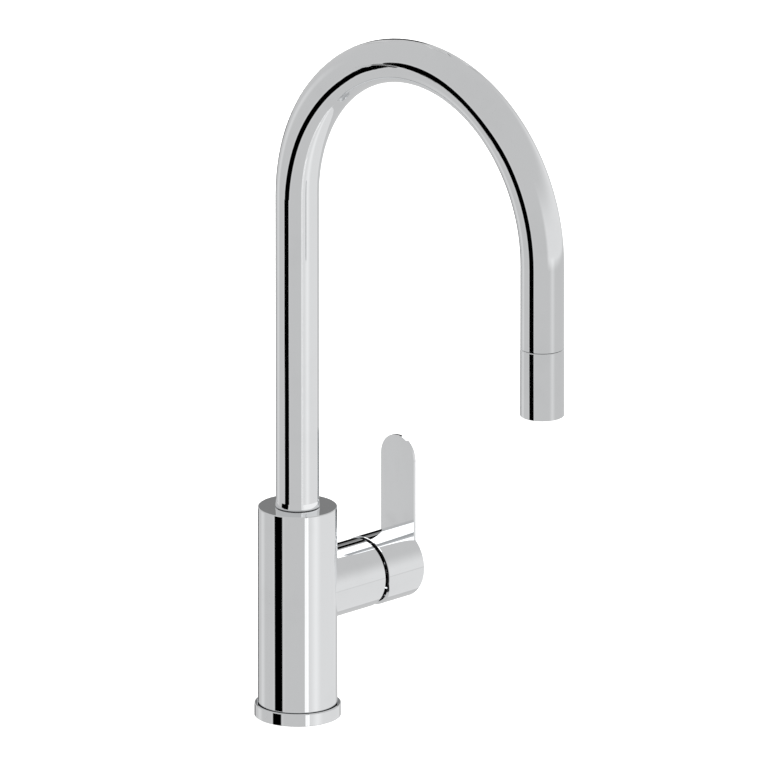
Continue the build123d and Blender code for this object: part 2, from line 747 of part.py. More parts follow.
def check_valve_spring():
    """Coil spring under the plunger."""
    wire_r = 0.3
    coil_r = 3.0
    low = VALVE_SEAT_Z + wire_r + 0.05
    high = 267.5 - wire_r
    path = Pos(0, 0, low) * Helix(pitch=1.0, height=high - low, radius=coil_r)
    section = Plane(origin=path @ 0, z_dir=path % 0) * Circle(wire_r)
    return HEAD_AXIS * sweep(section, path, is_frenet=True)


def aerator_housing():
    """Threaded ring that holds the aerator in the head's mouth."""
    outline = [
        (10.1, HEAD_BOTTOM_Z + 0.5),
        (11.9, HEAD_BOTTOM_Z + 0.5),
        (11.9, CORE_LOW_Z - 1.3),
        (8.8, CORE_LOW_Z - 1.3),
        (8.8, CORE_LOW_Z - 2.4),
        (10.1, CORE_LOW_Z - 2.4),
    ]
    return HEAD_AXIS * turned(outline)


def aerator_seal():
    """Rubber ring between the aerator and the head's core."""
    return HEAD_AXIS * ring(11.8, 8.8, CORE_LOW_Z - 1.2, CORE_LOW_Z)


def aerator_insert():
    """Outlet grille: rings and spokes under a plain cup."""
    low = HEAD_BOTTOM_Z + 1.0
    high = CORE_LOW_Z - 2.5
    cup = ring(10.0, 8.9, low, high) + rod(1.2, low, low + 2.0)
    for radius in (2.6, 4.0, 5.4, 6.8, 8.2):
        cup += ring(radius + 0.25, radius - 0.25, low, low + 2.0)
    for turn in range(8):
        cup += Rot(0, 0, turn * 45) * Pos(4.8, 0, low + 1.3) * Box(9.0, 0.5, 1.4)
    return HEAD_AXIS * cup


# ---- write every sub-part -----------------------------------------------------------
NODES = {
    "base_flange": base_flange,
    "flange_gasket": flange_gasket,
    "mounting_shank": mounting_shank,
    "deck_rubber_washer": deck_rubber_washer,
    "deck_steel_washer": deck_steel_washer,
    "mounting_nut": mounting_nut,
    "nut_lock_screws": nut_lock_screws,
    "body_shell": body_shell,
    "valve_block": valve_block,
    "hose_guide_sleeve": hose_guide_sleeve,
    "cartridge_base": cartridge_base,
    "cartridge_port_seals": cartridge_port_seals,
    "cartridge_housing": cartridge_housing,
    "ceramic_disc_fixed": ceramic_disc_fixed,
    "ceramic_disc_moving": ceramic_disc_moving,
    "disc_carrier": disc_carrier,
    "cartridge_rotor": cartridge_rotor,
    "spindle_pin": spindle_pin,
    "cartridge_spindle": cartridge_spindle,
    "cartridge_retaining_nut": cartridge_retaining_nut,
    "cartridge_dome": cartridge_dome,
    "lever_handle": lever_handle,
    "lever_grub_screw": lever_grub_screw,
    "lever_screw_cover": lever_screw_cover,
    "spout_tube": spout_tube,
    "spout_slip_washer": spout_slip_washer,
    "spout_foot": spout_foot,
    "swivel_bush_upper": swivel_bush_upper,
    "swivel_bush_lower": swivel_bush_lower,
    "spout_o_ring": spout_o_ring,
    "spout_lock_screw": spout_lock_screw,
    "spout_end_bush": spout_end_bush,
    "spray_hose_arch": spray_hose_arch,
    "spray_hose_riser": spray_hose_riser,
    "spray_hose_drop": spray_hose_drop,
    "hose_tail_coupling": hose_tail_coupling,
    "hose_ferrule": hose_ferrule,
    "hose_swivel_nut": hose_swivel_nut,
    "head_inlet_seal": head_inlet_seal,
    "spray_head_shell": spray_head_shell,
    "head_core": head_core,
    "check_valve_body": check_valve_body,
    "check_valve_poppet": check_valve_poppet,
    "check_valve_spring": check_valve_spring,
    "aerator_housing": aerator_housing,
    "aerator_seal": aerator_seal,
    "aerator_insert": aerator_insert,
}

os.makedirs("parts", exist_ok=True)
for node, make in NODES.items():
    made = make()
    shape = Compound(children=made) if isinstance(made, list) else made
    export_step(shape, f"parts/{node}.step")
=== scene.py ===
from math import cos, radians, sin

import bpy
import numpy as np
from mathutils import Matrix, Vector


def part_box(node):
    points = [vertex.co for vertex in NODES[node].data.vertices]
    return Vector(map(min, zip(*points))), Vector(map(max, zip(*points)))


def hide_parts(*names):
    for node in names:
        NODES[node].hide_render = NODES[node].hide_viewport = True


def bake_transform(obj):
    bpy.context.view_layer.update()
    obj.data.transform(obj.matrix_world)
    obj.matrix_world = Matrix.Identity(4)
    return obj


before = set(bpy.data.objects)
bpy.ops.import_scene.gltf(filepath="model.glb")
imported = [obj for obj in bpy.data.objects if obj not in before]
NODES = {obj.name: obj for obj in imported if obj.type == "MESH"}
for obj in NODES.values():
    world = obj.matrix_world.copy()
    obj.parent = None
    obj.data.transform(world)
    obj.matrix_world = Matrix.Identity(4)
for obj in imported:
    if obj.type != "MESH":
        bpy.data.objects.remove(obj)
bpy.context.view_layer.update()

bl_info = {
    "name": "Pull-down kitchen mixer",
    "version": (1, 0, 0),
    "blender": (4, 5, 0),
    "location": "View3D > Sidebar > Mixer",
    "description": "Finishes, spray hose and studio for a pull-down kitchen mixer",
    "category": "Object",
}

MM = 0.001
# Distance of the spout's mouth in front of the swivel axis, in metres.
REACH = 0.2156
# Drop of the spray hose: how far the head draws it out, the foot that moves with the head
# and does not stretch, its bore, and the rows of points along both stretches.
HOSE_PULL = 0.22
RIGID_FOOT = 18 * MM
HOSE_BORE = 3.6 * MM
STRETCH_ROWS = 420
FOOT_ROWS = 40


# ---- settings a user would change -----------------------------------------------------
class MixerFinishSettings(bpy.types.PropertyGroup):
    """Colours and gloss of the finishes."""

    chrome: bpy.props.FloatVectorProperty(
        name="Chrome", description="Tint of the polished chrome plate",
        subtype="COLOR", size=3, min=0, max=1, default=(0.82, 0.83, 0.84))
    chrome_roughness: bpy.props.FloatProperty(
        name="Chrome roughness", description="Gloss of the plate between wipe marks",
        min=0, max=1, default=0.025)
    brass: bpy.props.FloatVectorProperty(
        name="Brass", description="Colour of the machined brass parts",
        subtype="COLOR", size=3, min=0, max=1, default=(0.76, 0.60, 0.32))
    steel: bpy.props.FloatVectorProperty(
        name="Steel", description="Colour of the zinc-plated steel parts",
        subtype="COLOR", size=3, min=0, max=1, default=(0.62, 0.62, 0.63))
    dark_plastic: bpy.props.FloatVectorProperty(
        name="Dark plastic", description="Colour of the gloss black mouldings",
        subtype="COLOR", size=3, min=0, max=1, default=(0.03, 0.03, 0.035))
    white_plastic: bpy.props.FloatVectorProperty(
        name="White plastic", description="Colour of the acetal bushes and carriers",
        subtype="COLOR", size=3, min=0, max=1, default=(0.82, 0.82, 0.80))
    grey_plastic: bpy.props.FloatVectorProperty(
        name="Grey plastic", description="Colour of the cartridge mouldings",
        subtype="COLOR", size=3, min=0, max=1, default=(0.42, 0.43, 0.45))
    rubber: bpy.props.FloatVectorProperty(
        name="Rubber", description="Colour of the seals and washers",
        subtype="COLOR", size=3, min=0, max=1, default=(0.04, 0.04, 0.04))
    ceramic: bpy.props.FloatVectorProperty(
        name="Ceramic", description="Colour of the lapped valve discs",
        subtype="COLOR", size=3, min=0, max=1, default=(0.90, 0.89, 0.86))


class MixerHoseSettings(bpy.types.PropertyGroup):
    """Sizes and colour of the braided spray hose."""

    colour: bpy.props.FloatVectorProperty(
        name="Hose", description="Colour of the braided nylon",
        subtype="COLOR", size=3, min=0, max=1, default=(0.50, 0.51, 0.52))
    radius: bpy.props.FloatProperty(
        name="Hose radius", description="Outer radius over the braid's crowns",
        unit="LENGTH", min=0.002, default=6.0 * MM)
    strand_depth: bpy.props.FloatProperty(
        name="Strand depth", description="How deep the braid's crossings lie",
        unit="LENGTH", min=0, default=0.22 * MM)
    strands: bpy.props.IntProperty(
        name="Strands", description="Strands that wind each way round the hose",
        min=4, max=24, default=12)
    lay: bpy.props.FloatProperty(
        name="Lay", description="Length in which a strand winds once round the hose",
        unit="LENGTH", min=0.005, default=34.0 * MM)


class MixerStudioSettings(bpy.types.PropertyGroup):
    """Brightness of the studio around the mixer."""

    floor_light: bpy.props.FloatProperty(
        name="Soft light", description="Brightness of the even light from all round",
        min=0, default=1.05)
    field: bpy.props.FloatProperty(
        name="Reflected grey", description="Brightness that polished parts reflect at the back",
        min=0, default=0.63)
    front: bpy.props.FloatProperty(
        name="Reflected light grey", description="Brightness reflected from the front right",
        min=0, default=0.86)


# ---- shared shader effects ------------------------------------------------------------
def new_group(name, inputs, outputs):
    """Empty shader node group with float, colour or vector sockets."""
    group = bpy.data.node_groups.new(name, "ShaderNodeTree")
    for label, kind, default in inputs:
        socket = group.interface.new_socket(label, in_out="INPUT", socket_type=kind)
        if default is not None:
            socket.default_value = default
    for label, kind in outputs:
        group.interface.new_socket(label, in_out="OUTPUT", socket_type=kind)
    return group, group.nodes.new("NodeGroupInput"), group.nodes.new("NodeGroupOutput")


def add(tree, kind, **values):
    """New node with its settings; names that end in _in set input sockets."""
    node = tree.nodes.new(kind)
    for key, value in values.items():
        if key.startswith("in_"):
            socket = node.inputs[int(key[3:])] if key[3:].isdigit() else node.inputs[key[3:]]
            socket.default_value = value
        else:
            setattr(node, key, value)
    return node


def maths(tree, operation, a, b=None, c=None):
    """Math node fed by sockets or numbers; returns its output socket."""
    node = tree.nodes.new("ShaderNodeMath")
    node.operation = operation
    for index, value in enumerate((a, b, c)):
        if value is None:
            continue
        if isinstance(value, (int, float)):
            node.inputs[index].default_value = value
        else:
            tree.links.new(value, node.inputs[index])
    return node.outputs[0]


def ramp(tree, value, low, high):
    """Smooth step of a value: 0 at the low limit, 1 at the high one, which may be smaller."""
    node = tree.nodes.new("ShaderNodeMapRange")
    node.interpolation_type = "SMOOTHSTEP"
    tree.links.new(value, node.inputs["Value"])
    node.inputs["From Min"].default_value = low
    node.inputs["From Max"].default_value = high
    return node.outputs["Result"]


def wipe_marks_group():
    """Cloudy patches and hair-fine streaks that make a polished face a little duller."""
    group, source, sink = new_group(
        "Wipe marks",
        [("Vector", "NodeSocketVector", None), ("Clean", "NodeSocketFloat", 0.03),
         ("Dull", "NodeSocketFloat", 0.06), ("Scale", "NodeSocketFloat", 30.0)],
        [("Roughness", "NodeSocketFloat"), ("Mask", "NodeSocketFloat")])
    clouds = add(group, "ShaderNodeTexNoise", in_Detail=3.0, in_Roughness=0.6)
    stretched = add(group, "ShaderNodeMapping", in_Scale=(9.0, 9.0, 0.7))
    streaks = add(group, "ShaderNodeTexNoise", in_Detail=4.0, in_Roughness=0.7)
    link = group.links.new
    link(source.outputs["Vector"], clouds.inputs["Vector"])
    link(source.outputs["Scale"], clouds.inputs["Scale"])
    link(source.outputs["Vector"], stretched.inputs["Vector"])
    link(stretched.outputs[0], streaks.inputs["Vector"])
    link(source.outputs["Scale"], streaks.inputs["Scale"])
    patches = ramp(group, clouds.outputs["Fac"], 0.48, 0.72)
    lines = ramp(group, streaks.outputs["Fac"], 0.56, 0.74)
    mask = maths(group, "MAXIMUM", patches, maths(group, "MULTIPLY", lines, 0.6))
    span = maths(group, "SUBTRACT", source.outputs["Dull"], source.outputs["Clean"])
    link(maths(group, "MULTIPLY_ADD", mask, span, source.outputs["Clean"]),
         sink.inputs["Roughness"])
    link(mask, sink.inputs["Mask"])
    return group


def turning_marks_group():
    """Fine rings that a lathe tool leaves, evenly pitched along one axis, with some chatter."""
    group, source, sink = new_group(
        "Turning marks",
        [("Vector", "NodeSocketVector", None), ("Pitch", "NodeSocketFloat", 0.0004),
         ("Chatter", "NodeSocketFloat", 0.3)],
        [("Height", "NodeSocketFloat")])
    parts = add(group, "ShaderNodeSeparateXYZ")
    chatter = add(group, "ShaderNodeTexNoise", in_Scale=220.0, in_Detail=3.0)
    link = group.links.new
    link(source.outputs["Vector"], parts.inputs[0])
    link(source.outputs["Vector"], chatter.inputs["Vector"])
    turn = maths(group, "DIVIDE", parts.outputs["Z"], source.outputs["Pitch"])
    wobble = maths(group, "MULTIPLY", chatter.outputs["Fac"], source.outputs["Chatter"])
    phase = maths(group, "MULTIPLY", maths(group, "ADD", turn, wobble), 2 * np.pi)
    wave = maths(group, "MULTIPLY_ADD", maths(group, "SINE", phase), 0.5, 0.5)
    link(wave, sink.inputs["Height"])
    return group


def moulded_grain_group():
    """Fine spark-eroded grain with slow drifts of shade."""
    group, source, sink = new_group(
        "Moulded grain",
        [("Vector", "NodeSocketVector", None), ("Colour", "NodeSocketColor", None),
         ("Grain", "NodeSocketFloat", 2200.0), ("Drift", "NodeSocketFloat", 0.08),
         ("Smooth", "NodeSocketFloat", 0.35), ("Coarse", "NodeSocketFloat", 0.5)],
        [("Colour", "NodeSocketColor"), ("Roughness", "NodeSocketFloat"),
         ("Height", "NodeSocketFloat")])
    grain = add(group, "ShaderNodeTexNoise", in_Detail=2.0)
    slow = add(group, "ShaderNodeTexNoise", in_Scale=60.0, in_Detail=2.0)
    shade = add(group, "ShaderNodeHueSaturation")
    link = group.links.new
    link(source.outputs["Vector"], grain.inputs["Vector"])
    link(source.outputs["Grain"], grain.inputs["Scale"])
    link(source.outputs["Vector"], slow.inputs["Vector"])
    drift = maths(group, "SUBTRACT", slow.outputs["Fac"], 0.5)
    value = maths(group, "MULTIPLY_ADD", drift, source.outputs["Drift"], 1.0)
    link(value, shade.inputs["Value"])
    link(source.outputs["Colour"], shade.inputs["Color"])
    link(shade.outputs["Color"], sink.inputs["Colour"])
    span = maths(group, "SUBTRACT", source.outputs["Coarse"], source.outputs["Smooth"])
    link(maths(group, "MULTIPLY_ADD", grain.outputs["Fac"], span, source.outputs["Smooth"]),
         sink.inputs["Roughness"])
    link(grain.outputs["Fac"], sink.inputs["Height"])
    return group


# Node groups made so far, by name.
GROUPS = {}


def shared_group(name, make):
    """The group, built the first time that it is asked for."""
    if name not in GROUPS:
        GROUPS[name] = make()
    return GROUPS[name]


# ---- materials ------------------------------------------------------------------------
def start_material(name):
    """Material with its Principled shader and Object coordinates."""
    material = bpy.data.materials.new(name)
    material.use_nodes = True
    tree = material.node_tree
    shader = tree.nodes["Principled BSDF"]
    coords = tree.nodes.new("ShaderNodeTexCoord")
    return material, tree, shader, coords


def use_group(tree, group, **values):
    """Places a shared group in a material with its own values."""
    node = tree.nodes.new("ShaderNodeGroup")
    node.node_tree = group
    for key, value in values.items():
        node.inputs[key].default_value = value
    return node


def bump(tree, height, shader, strength, distance):
    """Bump node between a height and the shader's Normal."""
    node = add(tree, "ShaderNodeBump", in_Strength=strength, in_Distance=distance)
    tree.links.new(height, node.inputs["Height"])
    tree.links.new(node.outputs[0], shader.inputs["Normal"])


def two_tone(tree, factor, first, second, shader):
    """Base colour that goes from the first colour to the second with the factor."""
    tint = add(tree, "ShaderNodeMix", data_type="RGBA")
    tint.inputs["A"].default_value = (*first, 1)
    tint.inputs["B"].default_value = (*second, 1)
    tree.links.new(factor, tint.inputs["Factor"])
    tree.links.new(tint.outputs["Result"], shader.inputs["Base Color"])


def chrome_material(name, finish):
    """Polished plate: mirror gloss, with faint wipe marks in its roughness and tint."""
    material, tree, shader, coords = start_material(name)
    group = shared_group("wipe", wipe_marks_group)
    marks = use_group(tree, group, Clean=finish.chrome_roughness, Dull=0.05, Scale=26.0)
    tree.links.new(coords.outputs["Object"], marks.inputs["Vector"])
    wiped = [c * 0.975 for c in finish.chrome]
    two_tone(tree, marks.outputs["Mask"], finish.chrome, wiped, shader)
    tree.links.new(marks.outputs["Roughness"], shader.inputs["Roughness"])
    shader.inputs["Metallic"].default_value = 1.0
    return material


def turned_metal_material(name, colour, sideways, pitch, rough, stain):
    """Machined metal: lathe rings along Z, or along X if sideways, and cloudy stains."""
    material, tree, shader, coords = start_material(name)
    link = tree.links.new
    turn = add(tree, "ShaderNodeMapping")
    turn.inputs["Rotation"].default_value = (0, radians(90) if sideways else 0, 0)
    link(coords.outputs["Object"], turn.inputs["Vector"])
    marks = use_group(tree, shared_group("turning", turning_marks_group), Pitch=pitch)
    wipe = use_group(tree, shared_group("wipe", wipe_marks_group),
                     Clean=rough, Dull=rough + 0.16, Scale=60.0)
    link(turn.outputs[0], marks.inputs["Vector"])
    link(coords.outputs["Object"], wipe.inputs["Vector"])
    two_tone(tree, wipe.outputs["Mask"], colour, stain, shader)
    link(wipe.outputs["Roughness"], shader.inputs["Roughness"])
    shader.inputs["Metallic"].default_value = 1.0
    bump(tree, marks.outputs["Height"], shader, strength=0.25, distance=0.04 * MM)
    return material


def moulded_material(name, colour, smooth, coarse, grain=2200.0, strength=0.15, coat=0.0,
                     specular=0.5):
    """Plastic, rubber or ceramic: fine grain in the surface and slow drifts of shade."""
    material, tree, shader, coords = start_material(name)
    group = shared_group("grain", moulded_grain_group)
    grains = use_group(tree, group, Grain=grain, Smooth=smooth, Coarse=coarse)
    grains.inputs["Colour"].default_value = (*colour, 1)
    tree.links.new(coords.outputs["Object"], grains.inputs["Vector"])
    tree.links.new(grains.outputs["Colour"], shader.inputs["Base Color"])
    tree.links.new(grains.outputs["Roughness"], shader.inputs["Roughness"])
    shader.inputs["Coat Weight"].default_value = coat
    shader.inputs["Specular IOR Level"].default_value = specular
    shader.inputs["Coat Roughness"].default_value = 0.08
    bump(tree, grains.outputs["Height"], shader, strength, distance=0.05 * MM)
    return material


def braid_material(name, colour):
    """Braided nylon: fine threads cross on the slant, read from the hose's UV map, with painted
    shade between the threads and a painted highlight on their crowns.
    """
    material, tree, shader, coords = start_material(name)
    link = tree.links.new
    parts = add(tree, "ShaderNodeSeparateXYZ")
    link(coords.outputs["UV"], parts.inputs[0])
    along = maths(tree, "ADD", parts.outputs["X"], parts.outputs["Y"])
    back = maths(tree, "SUBTRACT", parts.outputs["X"], parts.outputs["Y"])
    pitch = 60.0
    threads = maths(tree, "MULTIPLY",
                    maths(tree, "SINE", maths(tree, "MULTIPLY", along, pitch)),
                    maths(tree, "SINE", maths(tree, "MULTIPLY", back, pitch)))
    fine = maths(tree, "MULTIPLY_ADD", threads, 0.5, 0.5)
    # Painted shade and painted highlight: the base colour goes from a darker copy of the nylon
    # in the dips to a paler copy on the crowns.
    painted_shade_colour = [c * 0.72 for c in colour]
    painted_highlight_colour = [min(1, c * 1.12) for c in colour]
    two_tone(tree, fine, painted_shade_colour, painted_highlight_colour, shader)
    shader.inputs["Roughness"].default_value = 0.42
    shader.inputs["Sheen Weight"].default_value = 0.15
    bump(tree, fine, shader, strength=0.35, distance=0.1 * MM)
    return material


# ---- new surfaces ---------------------------------------------------------------------
def grid_mesh(name, points, uv=None, wrap_u=True):
    """Mesh from a (rows, columns, 3) array of points, closed round its columns if asked.
    Quad (i, j) joins points (i, j), (i, j+1), (i+1, j+1), (i+1, j), so its face looks
    towards the row direction crossed with the column direction, reversed."""
    rows, columns, _ = points.shape
    i, j = np.meshgrid(np.arange(rows - 1), np.arange(columns if wrap_u else columns - 1),
                       indexing="ij")
    right = (j + 1) % columns
    quads = np.stack([i * columns + j, i * columns + right,
                      (i + 1) * columns + right, (i + 1) * columns + j], axis=-1)
    mesh = bpy.data.meshes.new(name)
    mesh.from_pydata(points.reshape(-1, 3), [], quads.reshape(-1, 4).tolist())
    if uv is not None:
        layer = mesh.uv_layers.new(name="UVMap")
        ends = np.stack([j, j + 1, j + 1, j], axis=-1).reshape(-1)
        sides = np.stack([i, i, i + 1, i + 1], axis=-1).reshape(-1)
        flat = np.stack([uv[0][ends], uv[1][sides]], axis=-1)
        layer.data.foreach_set("uv", flat.astype(np.float32).reshape(-1))
    mesh.polygons.foreach_set("use_smooth", np.ones(len(mesh.polygons), bool))
    mesh.update()
    return mesh


def add_piece(name, mesh, material):
    """Object at the origin with one material."""
    piece = bpy.data.objects.new(name, mesh)
    bpy.context.scene.collection.objects.link(piece)
    mesh.materials.append(material)
    return piece


def assign(nodes, material):
    """Gives CAD nodes a material on their own slots."""
    for name in nodes:
        slots = NODES[name].material_slots
        if not slots:
            raise RuntimeError(f"{name} has no material slot")
        for place in slots:
            place.link = "OBJECT"
            place.material = material


# ---- operators ------------------------------------------------------------------------
class MIXER_OT_chrome(bpy.types.Operator):
    """Polished chrome on the casing, flange, gooseneck, head, lever and aerator ring"""

    bl_idname = "mixer.chrome"
    bl_label = "Chrome parts"

    def execute(self, context):
        finish = context.scene.mixer_finish
        assign(["body_shell", "base_flange", "spout_tube", "spray_head_shell", "lever_handle",
                "aerator_housing"], chrome_material("Polished_chrome", finish))
        return {"FINISHED"}


class MIXER_OT_metals(bpy.types.Operator):
    """Machined brass and zinc-plated steel on the working parts"""

    bl_idname = "mixer.metals"
    bl_label = "Brass and steel parts"

    def execute(self, context):
        finish = context.scene.mixer_finish
        brass = dict(colour=finish.brass, pitch=0.4 * MM, rough=0.22, stain=(0.62, 0.45, 0.20))
        upright = turned_metal_material("Turned_brass", sideways=False, **brass)
        across = turned_metal_material("Turned_brass_side", sideways=True, **brass)
        zinc = turned_metal_material("Zinc_plate", finish.steel, sideways=False,
                                     pitch=0.6 * MM, rough=0.28, stain=(0.52, 0.52, 0.50))
        assign(["mounting_shank", "mounting_nut", "valve_block", "spout_foot",
                "hose_tail_coupling", "hose_swivel_nut"], upright)
        assign(["cartridge_retaining_nut", "cartridge_spindle"], across)
        assign(["deck_steel_washer", "nut_lock_screws", "spindle_pin", "lever_grub_screw",
                "spout_lock_screw", "hose_ferrule", "check_valve_spring"], zinc)
        return {"FINISHED"}


class MIXER_OT_mouldings(bpy.types.Operator):
    """Plastic, rubber and ceramic on the cartridge, seals, bushes and head core"""

    bl_idname = "mixer.mouldings"
    bl_label = "Mouldings and seals"

    def execute(self, context):
        finish = context.scene.mixer_finish
        gloss = moulded_material("Gloss_black_moulding", finish.dark_plastic, 0.10, 0.18,
                                 strength=0.05, coat=0.5)
        # The cartridge dome is a dark moulding; its near-black colour here is also painted shade
        # for the unlit gap round it between the sleeve and the lever.
        dome_painted_shade = moulded_material("Satin_black_moulding", (0.008, 0.008, 0.009), 0.55, 0.7,
                                 strength=0.1, specular=0.15)
        acetal = moulded_material("White_acetal", finish.white_plastic, 0.35, 0.5)
        grey = moulded_material("Grey_moulding", finish.grey_plastic, 0.35, 0.55)
        rubber = moulded_material("Seal_rubber", finish.rubber, 0.6, 0.8, grain=1400.0,
                                  strength=0.3)
        ceramic = moulded_material("Lapped_ceramic", finish.ceramic, 0.12, 0.25, grain=3000.0,
                                   strength=0.05, coat=0.3)
        assign(["spout_slip_washer", "spout_end_bush", "head_core", "check_valve_poppet",
                "aerator_insert"], gloss)
        assign(["cartridge_dome"], dome_painted_shade)
        assign(["hose_guide_sleeve", "disc_carrier", "cartridge_rotor", "swivel_bush_upper",
                "swivel_bush_lower", "check_valve_body"], acetal)
        assign(["cartridge_base", "cartridge_housing", "lever_screw_cover"], grey)
        assign(["flange_gasket", "deck_rubber_washer", "cartridge_port_seals", "spout_o_ring",
                "head_inlet_seal", "aerator_seal"], rubber)
        assign(["ceramic_disc_fixed", "ceramic_disc_moving"], ceramic)
        return {"FINISHED"}


def braided_tube(name, centre, side, up, travel, hose, bore, columns=96):
    """Braided hose wall carried along a line. At each row the wall is a circle in the plane
    of the side and up vectors. Strands wind round it both ways, once in each lay of travel,
    and a checker says which way's strand lies on top. The radius follows the rounded crown
    of that strand and dips beside it. The wall goes back along the bore, which closes it."""
    angle = np.linspace(0, 2 * np.pi, columns, endpoint=False)
    wind = 2 * np.pi * travel[:, None] / hose.lay
    left = hose.strands * (angle[None, :] + wind) / 2
    right = hose.strands * (angle[None, :] - wind) / 2
    over = np.sin(left) * np.sin(right)
    roundness = 0.6
    crown_left = np.abs(np.cos(left)) ** roundness
    crown_right = np.abs(np.cos(right)) ** roundness
    level = np.where(over > 0, crown_left, crown_right * 0.85)
    radius = hose.radius - hose.strand_depth * (1 - level)
    ring = (np.cos(angle)[None, :, None] * side[:, None, :]
            + np.sin(angle)[None, :, None] * up[:, None, :])
    wall = centre[:, None, :] + radius[:, :, None] * ring
    inner = centre[:, None, :] + bore * ring
    points = np.concatenate([inner[:1], wall, inner[::-1]], axis=0)
    u = np.linspace(0, 1, columns + 1)
    v = np.concatenate([travel[:1], travel, travel[::-1]]) / (2 * np.pi * hose.radius)
    return grid_mesh(name, points, uv=(u, v))


class MIXER_OT_hose(bpy.types.Operator):
    """Braided drop of the spray hose, its strands wound for the head drawn out, and nylon on the
    hose's riser and arch"""

    bl_idname = "mixer.hose"
    bl_label = "Spray hose"

    def execute(self, context):
        hose = context.scene.mixer_hose
        nylon = braid_material("Braided_nylon", hose.colour)
        low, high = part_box("spray_hose_drop")
        blend_low = low[2] + RIGID_FOOT
        t = np.linspace(0, 1, STRETCH_ROWS)
        stretch = high[2] + (blend_low - high[2]) * t
        foot = np.linspace(blend_low, low[2], FOOT_ROWS)[1:]
        z = np.concatenate([stretch, foot])
        # Where each row is once the head is drawn out. Strands are wound evenly for that.
        drawn = np.concatenate([stretch - HOSE_PULL * (3 * t**2 - 2 * t**3), foot - HOSE_PULL])
        zero = np.zeros_like(z)
        centre = np.stack([zero, zero - REACH, z], axis=-1)
        side = np.tile([1.0, 0.0, 0.0], (len(z), 1))
        up = np.tile([0.0, -1.0, 0.0], (len(z), 1))
        travel = drawn[0] - drawn
        mesh = braided_tube("spray_hose_drop_braid", centre, side, up, travel, hose, HOSE_BORE)
        piece = add_piece("spray_hose_drop_braid", mesh, nylon)
        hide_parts("spray_hose_drop")
        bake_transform(piece)
        plain_nylon = moulded_material("Hose_nylon", hose.colour, 0.4, 0.6, grain=900.0,
                                       strength=0.4)
        assign(["spray_hose_riser", "spray_hose_arch"], plain_nylon)
        return {"FINISHED"}


def direction(azimuth, elevation):
    """Unit vector for an azimuth from +X and an elevation, in degrees."""
    a, e = radians(azimuth), radians(elevation)
    return Vector((cos(a) * cos(e), sin(a) * cos(e), sin(e)))


def float_curve(tree, value, points):
    """Curve of a value between 0 and 1 through (place, height) points, also 0 to 1."""
    node = tree.nodes.new("ShaderNodeFloatCurve")
    tree.links.new(value, node.inputs["Value"])
    curve = node.mapping.curves[0]
    for index, place in enumerate(points):
        if index < 2:
            curve.points[index].location = place
        else:
            curve.points.new(*place)
    node.mapping.update()
    return node.outputs["Value"]


# Main view: where the camera stands, the point that it looks at, the width of its frame in
# metres, and the film and lens in millimetres. The lens is long, so the view is nearly
# parallel.
VIEW_AZIMUTH = -135
VIEW_ELEVATION = 17.1
VIEW_TARGET = (0.03633, -0.03633, 0.2197)
FRAME_WIDTH = 0.4753
FILM = 36.0
LENS = 1500.0
# Half the floor's width, in metres.
FLOOR_HALF = 30.0

# Dark bar of the room. It is laid out over the normals that mirror the room to the main
# view, by the way in which a normal leans from the -X axis and how far, in degrees. Each
# point of its middle line gives the way as a turn about the X axis, 0 being +Y and 90 up,
# and then the lean, which is negative the opposite way.
BAR_MIDDLE = [(0, -16), (20, -21), (45, -23), (70, -10), (100, 8.5), (125, 8), (145, 13.5),
              (180, 15)]
LEAN_RANGE = 30.0
# Degrees from the middle line between which the bar, and the paler margin beside it, fade.
BAR_EDGE = (7.2, 5.8)
MARGIN_EDGE = (11.0, 8.5)
MARGIN_RISE = 0.05
# The bar fades out below these leans, where the turn has no meaning.
BAR_GAP = (0.3, 0.55)
# Light grey side at the front right: azimuth, elevation, half width, half height, softness
# of the sides, softness of the top and foot. It also fades between two elevations at its
# top and between two at its foot.
FRONT_SIDE = (-45, 0, 60, 90, 8, 1)
FRONT_TOP = (34, 0)
FRONT_FOOT = (-14.8, -10.8)
# Patches, by the same six measures and by how much paler, or how dark, each one is.
PALE_PATCHES = [(-80, -50, 9, 39, 11, 2, 0.15), (103, -17, 9, 20, 8, 10, 0.14)]
DARK_PATCHES = [(47, 3, 5, 10, 1.5, 2, 1.0), (45, 17.1, 16, 5, 6, 2, 0.62),
                (41, 30, 5, 6, 1.5, 1.5, 1.0), (60, -17, 13, 8, 2, 3, 0.7)]


def room_patch(tree, azimuth, elevation, place):
    """Soft-edged box of azimuth and elevation, 1 inside it and 0 outside."""
    sides = []
    for value, middle, half, soft in zip((azimuth, elevation), place[:2], place[2:4], place[4:]):
        off = maths(tree, "ABSOLUTE", maths(tree, "SUBTRACT", value, middle))
        sides.append(ramp(tree, off, half + soft, half - soft))
    return maths(tree, "MULTIPLY", *sides)


